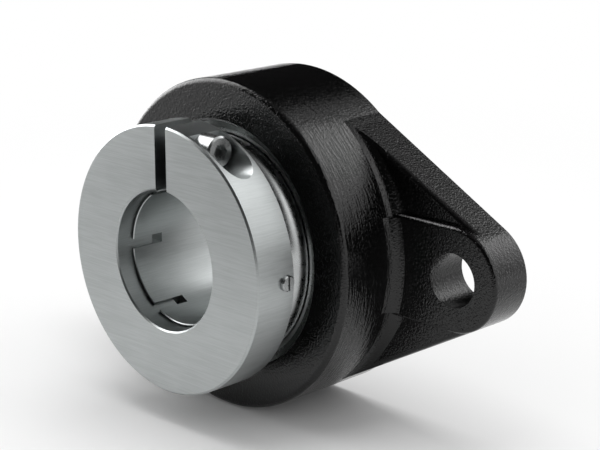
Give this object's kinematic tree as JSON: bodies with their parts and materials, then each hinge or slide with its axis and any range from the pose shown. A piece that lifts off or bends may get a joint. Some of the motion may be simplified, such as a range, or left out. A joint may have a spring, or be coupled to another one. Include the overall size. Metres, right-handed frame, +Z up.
{
  "type": "flange bearing unit",
  "caption": "Two-bolt flange bearing unit: cast housing with a self-aligning ball insert whose slotted inner ring is held on the shaft by a split clamp collar.",
  "frame": {"origin": "where the shaft's axis meets the mounting face, midway between the two bolt holes", "axes": "+X along the line through the bolt holes, +Y out of the mounting face into the wall, +Z up; the shaft runs along Y and the collar looks towards -Y"},
  "size_m": [0.158, 0.0534, 0.0918],
  "materials": {
    "housing_paint": "semi-gloss black paint over a sand-cast surface",
    "outer_ring_steel": "ground bearing steel, slightly dark",
    "inner_ring_steel": "ground bearing steel",
    "ball_steel": "polished bearing steel",
    "cage_steel": "pressed sheet steel",
    "shield_steel": "bright pressed sheet steel",
    "seal_rubber": "black nitrile rubber",
    "flinger_steel": "bright zinc-plated sheet steel",
    "collar_steel": "turned and brushed steel, bright plated",
    "screw_steel": "plated steel"
  },
  "bodies": {
    "housing": {"housing": "housing_paint"},
    "outer_ring_set": {"outer_ring": "outer_ring_steel", "front_seal_shield": "shield_steel", "front_seal_lip": "seal_rubber", "rear_seal_shield": "shield_steel", "rear_seal_lip": "seal_rubber"},
    "shaft_set": {"inner_ring": "inner_ring_steel", "front_flinger": "flinger_steel", "rear_flinger": "flinger_steel", "clamp_collar": "collar_steel", "clamp_screw": "screw_steel", "locating_screw": "screw_steel"},
    "cage": {"cage_front_half": "cage_steel", "cage_rear_half": "cage_steel", "cage_rivets": "cage_steel"},
    "ball_1": {"ball_1": "ball_steel"},
    "ball_2": {"ball_2": "ball_steel"},
    "ball_3": {"ball_3": "ball_steel"},
    "ball_4": {"ball_4": "ball_steel"},
    "ball_5": {"ball_5": "ball_steel"},
    "ball_6": {"ball_6": "ball_steel"},
    "ball_7": {"ball_7": "ball_steel"},
    "ball_8": {"ball_8": "ball_steel"},
    "ball_9": {"ball_9": "ball_steel"}
  },
  "joints": [
    {"name": "self_alignment", "type": "hinge", "parent": "housing", "child": "outer_ring_set", "pos_m": [0, -0.0205, 0], "axis": [1, 0, 0], "range_deg": [-3, 3]},
    {"name": "shaft_spin", "type": "hinge", "parent": "outer_ring_set", "child": "shaft_set", "pos_m": [0, -0.0205, 0], "axis": [0, 1, 0], "continuous": true},
    {"name": "cage_spin", "type": "hinge", "parent": "outer_ring_set", "child": "cage", "pos_m": [0, -0.0205, 0], "axis": [0, 1, 0], "continuous": true},
    {"name": "ball_1_roll", "type": "hinge", "parent": "cage", "child": "ball_1", "pos_m": [0.02675, -0.0205, 0], "axis": [0, 1, 0], "continuous": true},
    {"name": "ball_2_roll", "type": "hinge", "parent": "cage", "child": "ball_2", "pos_m": [0.02049, -0.0205, 0.01719], "axis": [0, 1, 0], "continuous": true},
    {"name": "ball_3_roll", "type": "hinge", "parent": "cage", "child": "ball_3", "pos_m": [0.00465, -0.0205, 0.02634], "axis": [0, 1, 0], "continuous": true},
    {"name": "ball_4_roll", "type": "hinge", "parent": "cage", "child": "ball_4", "pos_m": [-0.01337, -0.0205, 0.02317], "axis": [0, 1, 0], "continuous": true},
    {"name": "ball_5_roll", "type": "hinge", "parent": "cage", "child": "ball_5", "pos_m": [-0.02514, -0.0205, 0.00915], "axis": [0, 1, 0], "continuous": true},
    {"name": "ball_6_roll", "type": "hinge", "parent": "cage", "child": "ball_6", "pos_m": [-0.02514, -0.0205, -0.00915], "axis": [0, 1, 0], "continuous": true},
    {"name": "ball_7_roll", "type": "hinge", "parent": "cage", "child": "ball_7", "pos_m": [-0.01337, -0.0205, -0.02317], "axis": [0, 1, 0], "continuous": true},
    {"name": "ball_8_roll", "type": "hinge", "parent": "cage", "child": "ball_8", "pos_m": [0.00465, -0.0205, -0.02634], "axis": [0, 1, 0], "continuous": true},
    {"name": "ball_9_roll", "type": "hinge", "parent": "cage", "child": "ball_9", "pos_m": [0.02049, -0.0205, -0.01719], "axis": [0, 1, 0], "continuous": true}
  ],
  "couplings": [
    {"joint": "cage_spin", "follows": "shaft_spin", "ratio": 0.39615},
    {"joint": "ball_1_roll", "follows": "shaft_spin", "ratio": -2.3035},
    {"joint": "ball_2_roll", "follows": "shaft_spin", "ratio": -2.3035},
    {"joint": "ball_3_roll", "follows": "shaft_spin", "ratio": -2.3035},
    {"joint": "ball_4_roll", "follows": "shaft_spin", "ratio": -2.3035},
    {"joint": "ball_5_roll", "follows": "shaft_spin", "ratio": -2.3035},
    {"joint": "ball_6_roll", "follows": "shaft_spin", "ratio": -2.3035},
    {"joint": "ball_7_roll", "follows": "shaft_spin", "ratio": -2.3035},
    {"joint": "ball_8_roll", "follows": "shaft_spin", "ratio": -2.3035},
    {"joint": "ball_9_roll", "follows": "shaft_spin", "ratio": -2.3035}
  ]
}
